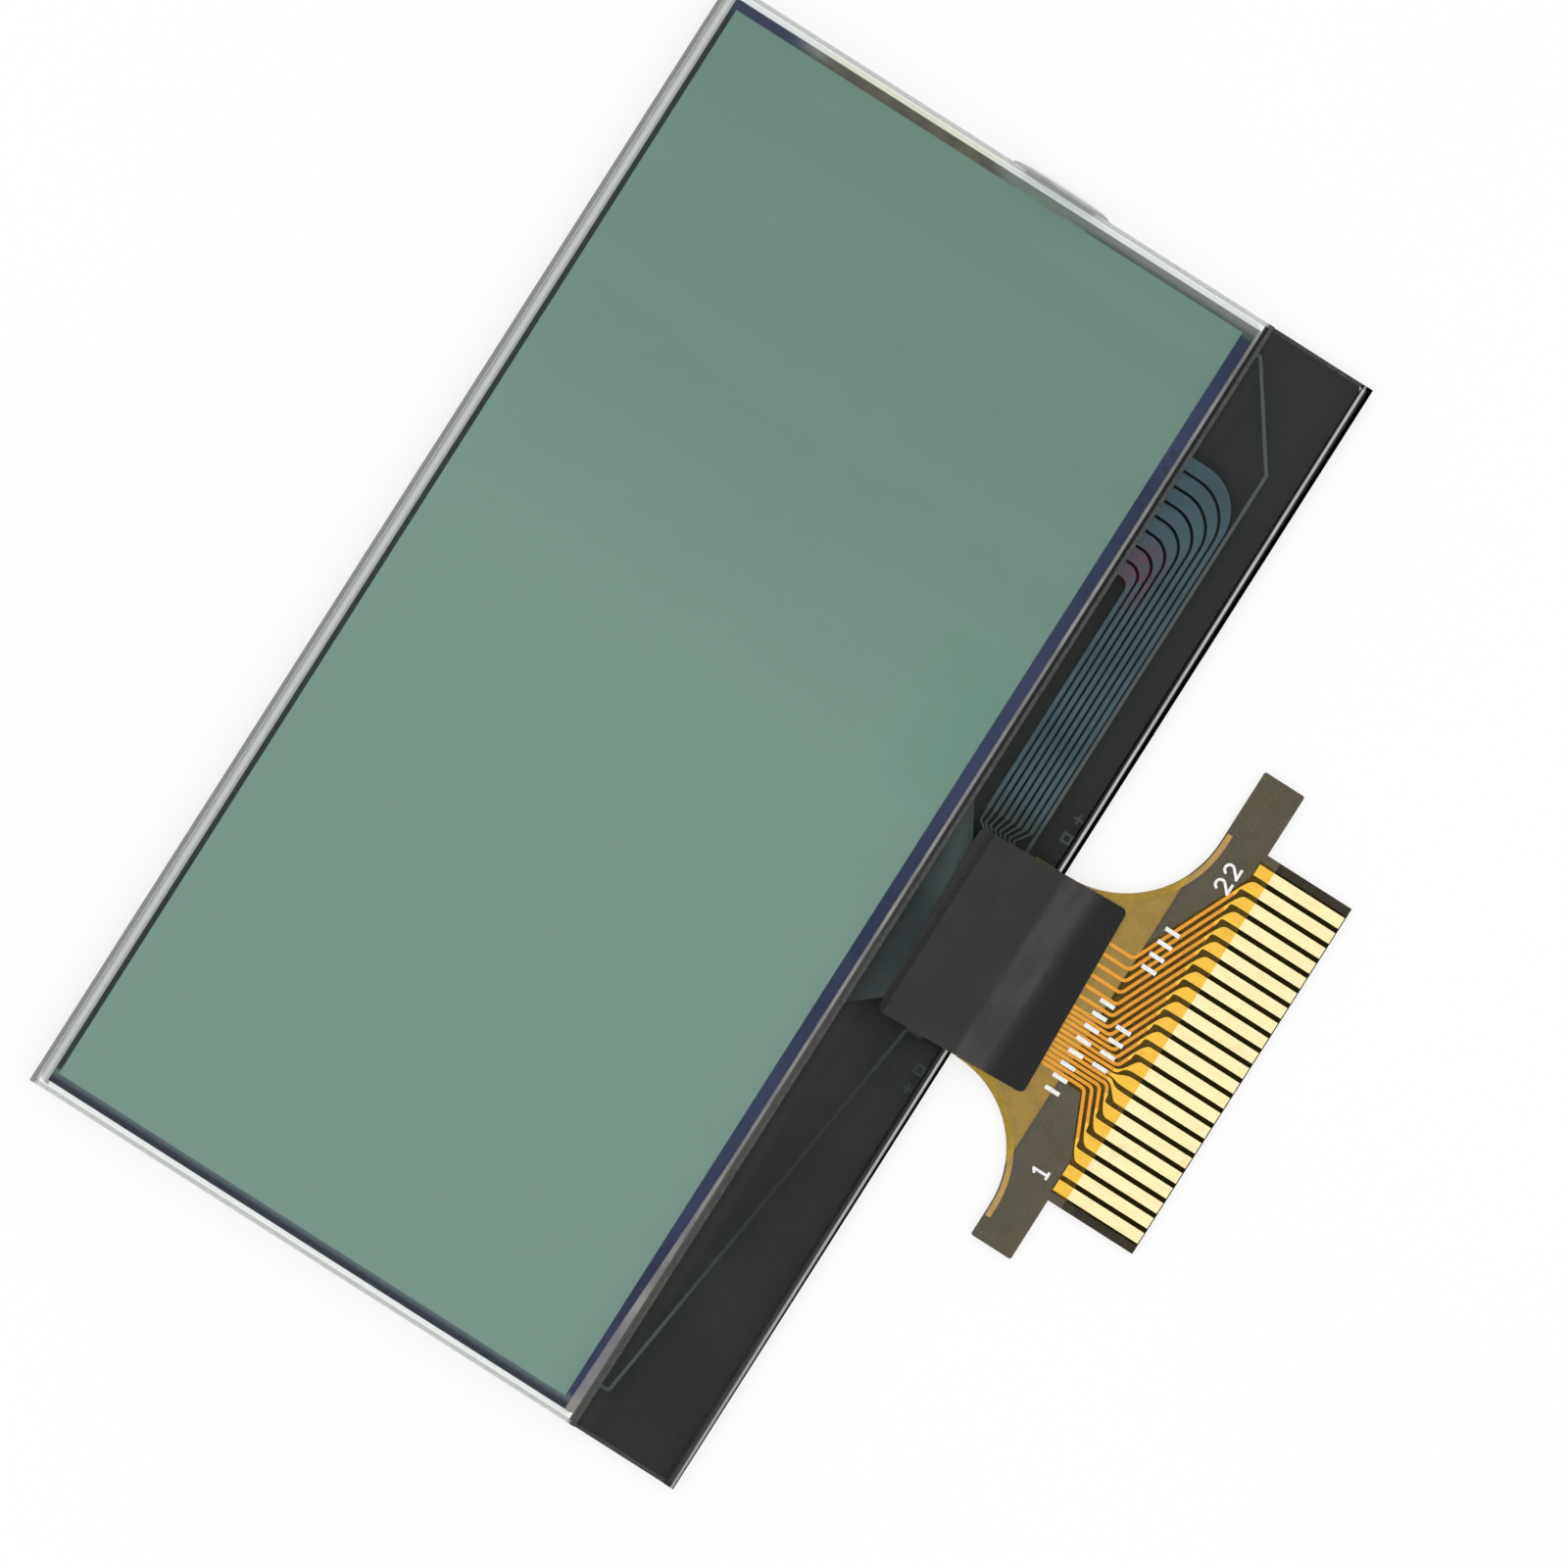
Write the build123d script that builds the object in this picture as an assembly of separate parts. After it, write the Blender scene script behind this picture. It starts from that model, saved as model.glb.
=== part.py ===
from build123d import *
from math import atan2, cos, hypot, radians, sin, tan
import os

# A small reflective graphic display, lying face up: two bonded glass plates, a contact ledge with
# the driver chip, and a flexible printed tail. X runs along the glass, the tail leaves towards -Y,
# Z = 0 is the back of the rear polariser, and the origin is the middle of the rear glass.
# Every size is in millimetres.

# Glass cell
GLASS_LENGTH = 58.6
FRONT_GLASS_WIDTH = 29.04
GLASS_THICK = 0.7
EDGE_CHAMFER = 0.18
CELL_GAP = 0.01

# Room left for each thin coat or glue line that is not modelled as a piece of its own
BOND_LINE = 0.003

# Polarisers
POLARISER_THICK = 0.2
POLARISER_END_INSET = 0.48
POLARISER_BACK_INSET = 0.7
POLARISER_LEDGE_INSET = 0.36

# Seal between the plates, its fill port and the bead that closes the port
SEAL_INSET = 0.25
SEAL_LEDGE_INSET = 0.4
SEAL_WIDTH = 0.7
SEAL_CORNER = 0.5
FILL_PORT_Y = -0.5
FILL_PORT_WIDTH = 3.7
PORT_PILLAR_WIDTH = 1.27
PLUG_LENGTH = 5.1
PLUG_PROUD = 0.3
PLUG_HEIGHT = 1.1
TRANSFER_DOT_RADIUS = 0.18

# What the ledge holds, from its outer edge inwards
BOND_LENGTH = 1.5
CHIP_TO_BOND = 0.75
CHIP_WIDTH = 1.3
CHIP_TO_GLASS = 1.71

# Driver chip
CHIP_LENGTH = 8.3
CHIP_CENTRE = -1.25
CHIP_THICK = 0.35
BUMP_HEIGHT = 0.015
BUMP_WIDTH = 0.05
BUMP_LENGTH = 0.12
BUMP_INSET = 0.06
CHIP_END_PITCH = 0.16
CHIP_END_WIDTH = 0.1

# Clear conductor tracks on the ledge
CLEAR_TRACK_THICK = 0.005
COMMON_COUNT = 8
COMMON_FIRST_X = 22.39
COMMON_BAND_PITCH = 0.796
COMMON_BAND_WIDTH = 0.66
COMMON_LINE_PITCH = 0.32
COMMON_LINE_WIDTH = 0.2
COMMON_TO_GLASS = 0.65
COMMON_TURN = 0.72
COMMON_BEND_X = 4.2
COMMON_BEND_RISE = 0.45
SEGMENT_COUNT = 96
SEGMENT_FAN_START = -6.6
SEGMENT_FAN_END = 4.1
SEGMENT_WIDTH = 0.06
SEGMENT_CHIP_MARGIN = 0.2
SEGMENT_CHIP_SPAN = 6.4
GUARD_WIDTH = 0.16
GUARD_GAP = 0.1
GUARD_CORNER_X = 23.48
GUARD_END_INSET = 1.44
LOWER_GUARD_INSET = 2.2
LOWER_GUARD_DROP = 0.42
MARK_SIZE = 0.5
MARK_LINE = 0.12
CROSS_TO_TAIL = 2.4
FRAME_TO_TAIL = 1.4
MARK_TO_EDGE = 0.8

# Black tape behind the ledge
BACKING_THICK = 0.1
BACKING_EDGE_INSET = 0.42
BACKING_END_INSET = 0.05
BACKING_CORNER = 0.4
BACKING_SKEW = 0.13
BACKING_TO_POLARISER = 0.1

# Tail outline, measured from the ledge's outer edge
NECK_WIDTH = 9.54
NECK_CENTRE = -1.27
NECK_RADIUS_RIGHT = 5.0
NECK_RADIUS_LEFT = 4.8
EAR_OFFSET = 5.13
EAR_WIDTH = 2.12
EAR_RIGHT = 12.24
EAR_LEFT = -12.43
EAR_CORNER = 0.1
TAIL_REACH = 11.74
TAIL_CENTRE = -0.08
STIFFENER_OFFSET = 4.78

# Tail layers
BASE_FILM_THICK = 0.025
COPPER_THICK = 0.02
PLATING_THICK = 0.005
COVER_FILM_THICK = 0.03
STIFFENER_GLUE_THICK = 0.03
CONTACT_END_THICK = 0.3
BASE_FILM_START = 0.3
BEND_START = 0.35
BEND_RUN = 2.8

# Contacts and copper tracks
CONTACT_COUNT = 22
CONTACT_PITCH = 0.8
CONTACT_WIDTH = 0.56
CONTACT_TIP_GAP = 0.05
CONTACT_START = 7.17
COVER_FILM_END = 7.93
FIRST_WIRED_CONTACT = 3
LAST_WIRED_CONTACT = 21
TRACK_WIDTH = 0.16
WIDE_TRACK_COUNT = 7
WIDE_TRACK_PITCH = 0.54
NARROW_TRACK_PITCH = 0.24
FIRST_TRACK_TO_EDGE = 1.54
TRACK_SLOPE = 24.4
TRACK_BEND_RADIUS = 0.3
ROOT_LENGTH = 0.75
STRAIGHT_ROOT_LENGTH = 0.6
ROOT_ROUND = 0.3
GUARD_LINE_WIDTH = 0.26
GUARD_LINE_INSET = 0.07
GUARD_LINE_EAR_RUN = 0.5

# Shield tape over the chip and the tail's bond
TAPE_THICK = 0.08
TAPE_LENGTH = 7.6
TAPE_WIDTH = 9.5
TAPE_SKEW = 2.6
TAPE_CORNER = 0.3
TAPE_LEDGE_REACH = 4.1
TAPE_SLOPE_RUN = 0.25
TAPE_CHIP_CLEARANCE = 0.05

# White print on the tail: the numbers of two contacts, and three rows of ticks below the tape
PRINT_THICK = 0.01
DIGIT_HEIGHT = 0.85
DIGIT_WIDTH = 0.58
DIGIT_STROKE = 0.13
DIGIT_SPACING = 0.78
ONE_FLAG = 0.19
ONE_FOOT_WIDTH = 0.39
TWO_HEAD_START = -30
TWO_HEAD_SWEEP = 200
DIGIT_OFFSET = 6.28
PAIR_DIGITS_INSET = 1.05
SINGLE_DIGIT_INSET = 0.1
TICK_PITCH = 0.66
TICK_LENGTH = 0.75
TICK_WIDTH = 0.2
TICK_COUNTS = (8, 4, 4)
TICK_ROW_CENTRES = (-2.7, 2.9, -2.0)
TICK_ROW_DROPS = (0, 0.75, 1.25)
TAPE_TO_TICKS = 0.875

# How far a cutting block reaches past what it cuts
CUT_MARGIN = 1.0

# Places worked out from the sizes above
ledge_width = BOND_LENGTH + CHIP_TO_BOND + CHIP_WIDTH + CHIP_TO_GLASS
rear_glass_width = FRONT_GLASS_WIDTH + ledge_width
end_x = GLASS_LENGTH / 2
back_y = rear_glass_width / 2
ledge_y = -rear_glass_width / 2
front_glass_y = ledge_y + ledge_width
bond_end_y = ledge_y + BOND_LENGTH
chip_outer_y = bond_end_y + CHIP_TO_BOND
chip_inner_y = chip_outer_y + CHIP_WIDTH
chip_left_x = CHIP_CENTRE - CHIP_LENGTH / 2
chip_right_x = CHIP_CENTRE + CHIP_LENGTH / 2
seal_outer_x = end_x - SEAL_INSET
seal_back_y = back_y - SEAL_INSET
seal_ledge_y = front_glass_y + SEAL_LEDGE_INSET
polariser_ledge_y = front_glass_y + POLARISER_LEDGE_INSET

rear_glass_z = POLARISER_THICK + BOND_LINE
ledge_z = rear_glass_z + GLASS_THICK
cell_fill_thick = CELL_GAP - BOND_LINE
front_glass_z = ledge_z + CELL_GAP
front_polariser_z = front_glass_z + GLASS_THICK + BOND_LINE
display_top_z = front_polariser_z + POLARISER_THICK
clear_track_z = ledge_z + CLEAR_TRACK_THICK
chip_z = clear_track_z + BUMP_HEIGHT
chip_top_z = chip_z + CHIP_THICK

neck_left_x = NECK_CENTRE - NECK_WIDTH / 2
neck_right_x = NECK_CENTRE + NECK_WIDTH / 2
ear_inner_y = ledge_y - EAR_OFFSET
ear_outer_y = ear_inner_y - EAR_WIDTH
tail_width = (CONTACT_COUNT + 1) * CONTACT_PITCH
tail_left_x = TAIL_CENTRE - tail_width / 2
tail_right_x = TAIL_CENTRE + tail_width / 2
tail_end_y = ledge_y - TAIL_REACH
contact_start_y = ledge_y - CONTACT_START
cover_end_y = ledge_y - COVER_FILM_END
stiffener_y = ledge_y - STIFFENER_OFFSET
tape_start_y = ledge_y + TAPE_LEDGE_REACH
tape_end_y = tape_start_y - TAPE_LENGTH

# Heights of the tail: its underside at the ledge and on the stiffener, and the S bend between them
contact_thick = COPPER_THICK + PLATING_THICK
film_top = BASE_FILM_THICK + COPPER_THICK + COVER_FILM_THICK
tail_low_z = CONTACT_END_THICK - contact_thick - BASE_FILM_THICK
stiffener_thick = tail_low_z - STIFFENER_GLUE_THICK
tail_high_z = chip_z - BASE_FILM_THICK
bend_start_y = ledge_y - BEND_START
bend_end_y = bend_start_y - BEND_RUN
bend_angle = 2 * atan2(tail_high_z - tail_low_z, BEND_RUN)
bend_radius = BEND_RUN / 2 / sin(bend_angle)

UP = (0, 0, 1)


def block(x_low, x_high, y_low, y_high, z_low, thick):
    """A flat rectangular block given by its sides."""
    corner = (Align.MIN, Align.MIN, Align.MIN)
    return Pos(x_low, y_low, z_low) * Box(x_high - x_low, y_high - y_low, thick, align=corner)


def rectangle(x_low, x_high, y_low, y_high):
    corner = (Align.MIN, Align.MIN)
    return Pos(x_low, y_low) * Rectangle(x_high - x_low, y_high - y_low, align=corner)


def plate(face, z_low, thick):
    """The flat face pulled up into a plate."""
    return extrude(Pos(0, 0, z_low) * face, thick, dir=UP)


def group(pieces):
    """Separate solids that share one node."""
    return Compound(children=[solid for piece in pieces for solid in piece.solids()])


# Glass cell

def front_glass():
    glass = block(-end_x, end_x, front_glass_y, back_y, front_glass_z, GLASS_THICK)
    return chamfer(glass.edges().group_by(Axis.Z)[-1], EDGE_CHAMFER)


def rear_glass():
    glass = block(-end_x, end_x, ledge_y, back_y, rear_glass_z, GLASS_THICK)
    ledge_edge = glass.edges().group_by(Axis.Z)[-1].sort_by(Axis.Y)[0]
    return chamfer(glass.edges().group_by(Axis.Z)[0] + [ledge_edge], EDGE_CHAMFER)


def polariser(z_low):
    side = end_x - POLARISER_END_INSET
    return block(-side, side, polariser_ledge_y, back_y - POLARISER_BACK_INSET, z_low, POLARISER_THICK)


def seal_outer_face():
    width = seal_back_y - seal_ledge_y
    face = RectangleRounded(2 * seal_outer_x, width, SEAL_CORNER)
    return Pos(0, seal_ledge_y + width / 2) * face


def cell_inner_face():
    side = seal_outer_x - SEAL_WIDTH
    return rectangle(-side, side, seal_ledge_y + SEAL_WIDTH, seal_back_y - SEAL_WIDTH)


def fill_port_face():
    """The two channels of the fill port, either side of its pillar."""
    port = rectangle(seal_outer_x - SEAL_WIDTH, seal_outer_x,
                     FILL_PORT_Y - FILL_PORT_WIDTH / 2, FILL_PORT_Y + FILL_PORT_WIDTH / 2)
    pillar = rectangle(seal_outer_x - SEAL_WIDTH, seal_outer_x,
                       FILL_PORT_Y - PORT_PILLAR_WIDTH / 2, FILL_PORT_Y + PORT_PILLAR_WIDTH / 2)
    return port - pillar


def liquid_crystal():
    return plate(cell_inner_face() + fill_port_face(), ledge_z, cell_fill_thick)


def transfer_dot_places():
    """One dot at the start of each common band and of each guard track."""
    dot_y = seal_ledge_y + SEAL_WIDTH / 2
    bands = [common_band_x(band) - COMMON_BAND_WIDTH / 2 for band in range(COMMON_COUNT)]
    guards = [end_x - GUARD_END_INSET, LOWER_GUARD_INSET - end_x]
    return [(x, dot_y) for x in bands + guards]


def transfer_dots():
    dot = Circle(TRANSFER_DOT_RADIUS)
    return group([plate(Pos(*place) * dot, clear_track_z, cell_fill_thick - CLEAR_TRACK_THICK)
                  for place in transfer_dot_places()])


def perimeter_seal(tracks, dots):
    ring = plate(seal_outer_face() - cell_inner_face() - fill_port_face(), ledge_z, cell_fill_thick)
    for piece in tracks + [dots]:
        ring = ring - piece.solids()
    return group([ring])


def end_seal_plug():
    """A glue bead on the glass edge, with a tongue that fills the gap up to the port."""
    gap_z = ledge_z + CELL_GAP / 2
    egg = scale(Sphere(1), (PLUG_PROUD, PLUG_LENGTH / 2, PLUG_HEIGHT / 2))
    bead = Pos(end_x, FILL_PORT_Y, gap_z) * egg
    outside = block(end_x, end_x + 2 * PLUG_PROUD, FILL_PORT_Y - PLUG_LENGTH, FILL_PORT_Y + PLUG_LENGTH,
                    gap_z - PLUG_HEIGHT, 2 * PLUG_HEIGHT)
    tongue = block(seal_outer_x, end_x, FILL_PORT_Y - FILL_PORT_WIDTH / 2, FILL_PORT_Y + FILL_PORT_WIDTH / 2,
                   ledge_z, cell_fill_thick)
    return (bead & outside) + tongue


# Clear conductor tracks on the ledge

def common_band_x(band):
    """Outer side of a common band where it leaves the front glass; band 0 is the outermost."""
    return COMMON_FIRST_X - band * COMMON_BAND_PITCH


def common_line_y(band):
    """Outer side of the same band where it runs along the ledge."""
    innermost = front_glass_y - COMMON_TO_GLASS - COMMON_LINE_WIDTH
    return innermost - (COMMON_COUNT - 1 - band) * COMMON_LINE_PITCH


def chip_end_y(band):
    """Where the same band ends at the short side of the chip."""
    return (chip_inner_y + chip_outer_y) / 2 + (band - (COMMON_COUNT - 1) / 2) * CHIP_END_PITCH


def under_curve(side_x, line_y, top_y):
    """The area inside one edge of a band: down from the glass, round the corner and along."""
    radius = COMMON_TURN * (front_glass_y - line_y)
    edge = Line((side_x, top_y), (side_x, line_y + radius))
    turn = RadiusArc((side_x, line_y + radius), (side_x - radius, line_y), radius)
    along = Line((side_x - radius, line_y), (COMMON_BEND_X, line_y))
    close = Polyline((COMMON_BEND_X, line_y), (COMMON_BEND_X, top_y), (side_x, top_y))
    return make_face(edge + turn + along + close)


def common_track(band):
    """A wide band that turns along the ledge, narrows to a line and ends under the chip."""
    side_x = common_band_x(band)
    line_y = common_line_y(band)
    top_y = seal_ledge_y + SEAL_WIDTH
    outer = under_curve(side_x, line_y, top_y)
    inner = under_curve(side_x - COMMON_BAND_WIDTH, line_y + COMMON_LINE_WIDTH, top_y)
    middle_y = line_y + COMMON_LINE_WIDTH / 2
    rise = COMMON_BEND_RISE * (COMMON_COUNT - 1 - band) / (COMMON_COUNT - 1)
    tape_x = (COMMON_BEND_X + chip_right_x) / 2
    to_chip = trace(Polyline((COMMON_BEND_X, middle_y), (tape_x, middle_y + rise),
                             (chip_right_x - BUMP_INSET - BUMP_LENGTH, chip_end_y(band))), CHIP_END_WIDTH)
    return plate(outer - inner + to_chip, ledge_z, CLEAR_TRACK_THICK)


def segment_chip_x(index):
    first = chip_left_x + SEGMENT_CHIP_MARGIN
    return first + index * SEGMENT_CHIP_SPAN / (SEGMENT_COUNT - 1)


def segment_track(index):
    """One fine line from under the front glass to the inner side of the chip."""
    glass_x = SEGMENT_FAN_START + index * (SEGMENT_FAN_END - SEGMENT_FAN_START) / (SEGMENT_COUNT - 1)
    chip_x = segment_chip_x(index)
    run = Polyline((glass_x, seal_ledge_y), (glass_x, front_glass_y), (chip_x, chip_inner_y),
                   (chip_x, chip_inner_y - BUMP_INSET - BUMP_LENGTH))
    return plate(trace(run, SEGMENT_WIDTH), ledge_z, CLEAR_TRACK_THICK)


def guard_tracks():
    """The thin single tracks at both ends of the ledge."""
    top_y = seal_ledge_y + SEAL_WIDTH
    upper_x = end_x - GUARD_END_INSET
    upper_y = common_line_y(0) - GUARD_GAP - GUARD_WIDTH / 2
    upper = Polyline((upper_x, top_y), (upper_x, front_glass_y - GUARD_WIDTH), (GUARD_CORNER_X, upper_y),
                     (chip_right_x, upper_y), (chip_right_x, bond_end_y))
    lower_x = LOWER_GUARD_INSET - end_x
    beside_chip_x = chip_left_x - CHIP_TO_BOND
    lower = FilletPolyline((lower_x, top_y), (lower_x, front_glass_y - LOWER_GUARD_DROP),
                           (beside_chip_x, chip_outer_y), (beside_chip_x, bond_end_y), radius=GUARD_WIDTH)
    return [plate(trace(run, GUARD_WIDTH), ledge_z, CLEAR_TRACK_THICK) for run in (upper, lower)]


def input_track(contact):
    """A line from under the tail's copper to the outer side of the chip."""
    x = neck_track_x(contact)
    face = rectangle(x - TRACK_WIDTH / 2, x + TRACK_WIDTH / 2, ledge_y + EDGE_CHAMFER,
                     chip_outer_y + BUMP_INSET + BUMP_LENGTH)
    return plate(face, ledge_z, CLEAR_TRACK_THICK)


def alignment_marks():
    """A cross and a frame on each side of the tail, for setting it down when it is bonded."""
    window = MARK_SIZE - 2 * MARK_LINE
    cross = Rectangle(MARK_SIZE, MARK_LINE) + Rectangle(MARK_LINE, MARK_SIZE)
    frame = Rectangle(MARK_SIZE, MARK_SIZE) - Rectangle(window, window)
    mark_y = ledge_y + MARK_TO_EDGE
    marks = []
    for neck_x, away in ((neck_left_x, -1), (neck_right_x, 1)):
        marks.append(Pos(neck_x + away * CROSS_TO_TAIL, mark_y) * cross)
        marks.append(Pos(neck_x + away * FRAME_TO_TAIL, mark_y) * frame)
    return group([plate(mark, ledge_z, CLEAR_TRACK_THICK) for mark in marks])


# Driver chip

def driver_chip():
    return block(chip_left_x, chip_right_x, chip_outer_y, chip_inner_y, chip_z, CHIP_THICK)


def bump(x, y, x_size, y_size):
    return block(x - x_size / 2, x + x_size / 2, y - y_size / 2, y + y_size / 2, clear_track_z, BUMP_HEIGHT)


def chip_bumps():
    """One bump on the end of each segment, input and common track."""
    row_inset = BUMP_INSET + BUMP_LENGTH / 2
    inner = [bump(segment_chip_x(index), chip_inner_y - row_inset, BUMP_WIDTH, BUMP_LENGTH)
             for index in range(SEGMENT_COUNT)]
    outer = [bump(neck_track_x(contact), chip_outer_y + row_inset, BUMP_WIDTH, BUMP_LENGTH)
             for contact in wired_contacts()]
    end = [bump(chip_right_x - row_inset, chip_end_y(band), BUMP_LENGTH, BUMP_WIDTH)
           for band in range(COMMON_COUNT)]
    return group(inner + outer + end)


def chip_bond_film(bumps):
    film = block(chip_left_x, chip_right_x, chip_outer_y, chip_inner_y, clear_track_z, BUMP_HEIGHT)
    return film - bumps.solids()


# Tail

def tail_outline():
    """The tail seen from above: neck, two concave corners, ears and the contact end."""
    right_turn_y = ear_inner_y + NECK_RADIUS_RIGHT
    left_turn_y = ear_inner_y + NECK_RADIUS_LEFT
    right_ear_x = neck_right_x + NECK_RADIUS_RIGHT
    left_ear_x = neck_left_x - NECK_RADIUS_LEFT
    edges = Polyline((neck_left_x, left_turn_y), (neck_left_x, bond_end_y), (neck_right_x, bond_end_y),
                     (neck_right_x, right_turn_y))
    edges += RadiusArc((neck_right_x, right_turn_y), (right_ear_x, ear_inner_y), -NECK_RADIUS_RIGHT)
    edges += Polyline((right_ear_x, ear_inner_y), (EAR_RIGHT, ear_inner_y), (EAR_RIGHT, ear_outer_y),
                      (tail_right_x, ear_outer_y), (tail_right_x, tail_end_y), (tail_left_x, tail_end_y),
                      (tail_left_x, ear_outer_y), (EAR_LEFT, ear_outer_y), (EAR_LEFT, ear_inner_y),
                      (left_ear_x, ear_inner_y))
    edges += RadiusArc((left_ear_x, ear_inner_y), (neck_left_x, left_turn_y), -NECK_RADIUS_LEFT)
    face = make_face(edges)
    ends = face.vertices().group_by(Axis.X)
    return fillet(ends[0] + ends[-1], EAR_CORNER)


def bend_line(offset, first_y, last_y):
    """The tail's side view at a height above its underside: flat, two arcs, flat."""
    outer = bend_radius + offset
    inner = bend_radius - offset
    top = [(0, bend_start_y - outer * sin(part * bend_angle), tail_high_z - bend_radius
            + outer * cos(part * bend_angle)) for part in (0, 0.5, 1)]
    foot = [(0, bend_end_y + inner * sin(part * bend_angle), tail_low_z + bend_radius
             - inner * cos(part * bend_angle)) for part in (1, 0.5, 0)]
    return [Line((0, first_y, tail_high_z + offset), top[0]), ThreePointArc(*top), ThreePointArc(*foot),
            Line(foot[2], (0, last_y, tail_low_z + offset))]


def pull_across(edges):
    """A closed side view pulled out to both sides, further than the ears reach."""
    return extrude(make_face(edges), max(EAR_RIGHT, -EAR_LEFT) + CUT_MARGIN, dir=(1, 0, 0), both=True)


def bent_sheet(low, high, first_y, last_y):
    """A full-width sheet that follows the bend, between two heights above the tail's underside."""
    lower = bend_line(low, first_y, last_y)
    upper = bend_line(high, first_y, last_y)
    ends = [Line(lower[0] @ 0, upper[0] @ 0), Line(lower[-1] @ 1, upper[-1] @ 1)]
    return pull_across(lower + upper + ends)


def cut_from(sheet, face):
    """The part of a bent sheet that lies under a flat outline."""
    return sheet & plate(face, -CUT_MARGIN, display_top_z + 2 * CUT_MARGIN)


def tail_base_film():
    sheet = bent_sheet(0, BASE_FILM_THICK, ledge_y - BASE_FILM_START, tail_end_y)
    return cut_from(sheet, tail_outline())


def wired_contacts():
    return range(LAST_WIRED_CONTACT, FIRST_WIRED_CONTACT - 1, -1)


def contact_x(contact):
    """Contact 1 is at the -X end of the row."""
    return TAIL_CENTRE + (contact - (CONTACT_COUNT + 1) / 2) * CONTACT_PITCH


def neck_track_x(contact):
    """Where a contact's track runs along the neck: widely spaced first, then closely spaced."""
    place = LAST_WIRED_CONTACT - contact
    wide = min(place, WIDE_TRACK_COUNT - 1)
    narrow = place - wide
    return neck_right_x - FIRST_TRACK_TO_EDGE - wide * WIDE_TRACK_PITCH - narrow * NARROW_TRACK_PITCH


def track_start(contact):
    """Where a contact's track leaves the root of the contact, and in which direction."""
    shift = neck_track_x(contact) - contact_x(contact)
    slope = radians(TRACK_SLOPE)
    bend_run = TRACK_BEND_RADIUS * tan((radians(90) - slope) / 2)
    if abs(shift) < (ROOT_LENGTH + bend_run) * cos(slope):
        return (neck_track_x(contact), contact_start_y + STRAIGHT_ROOT_LENGTH), (0, 1)
    side = 1 if shift > 0 else -1
    direction = (side * cos(slope), sin(slope))
    start = (contact_x(contact) + ROOT_LENGTH * direction[0], contact_start_y + ROOT_LENGTH * direction[1])
    return start, direction


def copper_track(contact):
    """A track from the root of its contact, up the slope and along the neck to the bond."""
    start, direction = track_start(contact)
    neck_x = neck_track_x(contact)
    points = [start]
    if direction[0] != 0:
        turn_y = start[1] + abs(neck_x - start[0]) * direction[1] / abs(direction[0])
        points.append((neck_x, turn_y))
    points.append((neck_x, bond_end_y))
    if len(points) == 2:
        return trace(Line(*points), TRACK_WIDTH)
    return trace(FilletPolyline(*points, radius=TRACK_BEND_RADIUS), TRACK_WIDTH)


def contact_root(contact):
    """The taper from a contact's full width down to its track: hollow on the side it turns to."""
    start, direction = track_start(contact)
    reach = hypot(start[0] - contact_x(contact), start[1] - contact_start_y) / 2
    lean = neck_track_x(contact) - contact_x(contact)
    sides = []
    for side in (-1, 1):
        rise = ROOT_ROUND + (reach if side * lean >= 0 else 0)
        wide = Vector(contact_x(contact) + side * CONTACT_WIDTH / 2, contact_start_y - ROOT_ROUND)
        thin = Vector(start[0] + side * direction[1] * TRACK_WIDTH / 2,
                      start[1] - side * direction[0] * TRACK_WIDTH / 2)
        sides.append(Bezier(wide, wide + Vector(0, rise), thin - Vector(*direction) * reach, thin))
    caps = [Line(sides[0] @ 0, sides[1] @ 0), Line(sides[0] @ 1, sides[1] @ 1)]
    return make_face(sides + caps)


def contact_finger(contact, thick):
    x = contact_x(contact)
    left_x = x - CONTACT_WIDTH / 2
    right_x = x + CONTACT_WIDTH / 2
    tip_y = tail_end_y + CONTACT_TIP_GAP
    if contact in wired_contacts():
        finger = rectangle(left_x, right_x, tip_y, contact_start_y - ROOT_ROUND) + contact_root(contact)
    else:
        finger = rectangle(left_x, right_x, tip_y, contact_start_y)
    return plate(finger, tail_low_z + BASE_FILM_THICK, thick)


def tear_guard_faces():
    """A copper line beside each concave corner of the tail."""
    inset = GUARD_LINE_INSET + GUARD_LINE_WIDTH / 2
    faces = []
    for side, neck_x, radius in ((1, neck_right_x, NECK_RADIUS_RIGHT), (-1, neck_left_x, NECK_RADIUS_LEFT)):
        guard_x = neck_x - side * inset
        guard_y = ear_inner_y - inset
        turn_start = (guard_x, ear_inner_y + radius)
        turn_end = (neck_x + side * radius, guard_y)
        run = Line((guard_x, bond_end_y), turn_start)
        run += RadiusArc(turn_start, turn_end, -side * (radius + inset))
        run += Line(turn_end, (turn_end[0] + side * GUARD_LINE_EAR_RUN, guard_y))
        faces.append(trace(run, GUARD_LINE_WIDTH))
    return faces


def contact_row(clearance):
    """All the contacts, made thicker by a clearance."""
    numbers = range(1, CONTACT_COUNT + 1)
    return group([contact_finger(number, contact_thick + clearance) for number in numbers])


def tail_copper(faces, clearance):
    """Flat copper outlines laid into the copper layer of the bent tail, thicker by a clearance."""
    copper_top = BASE_FILM_THICK + COPPER_THICK + clearance
    sheet = bent_sheet(BASE_FILM_THICK, copper_top, bond_end_y, tail_end_y)
    return group([cut_from(sheet, face) for face in faces])


def tail_cover_film(copper_faces):
    """The cover film and its glue, which flows down between the copper tracks."""
    sheet = bent_sheet(BASE_FILM_THICK + BOND_LINE, film_top, bond_end_y, cover_end_y)
    film = cut_from(sheet, tail_outline())
    copper = [contact_row(BOND_LINE), tail_copper(copper_faces, BOND_LINE)]
    return film - [solid for piece in copper for solid in piece.solids()]


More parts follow.
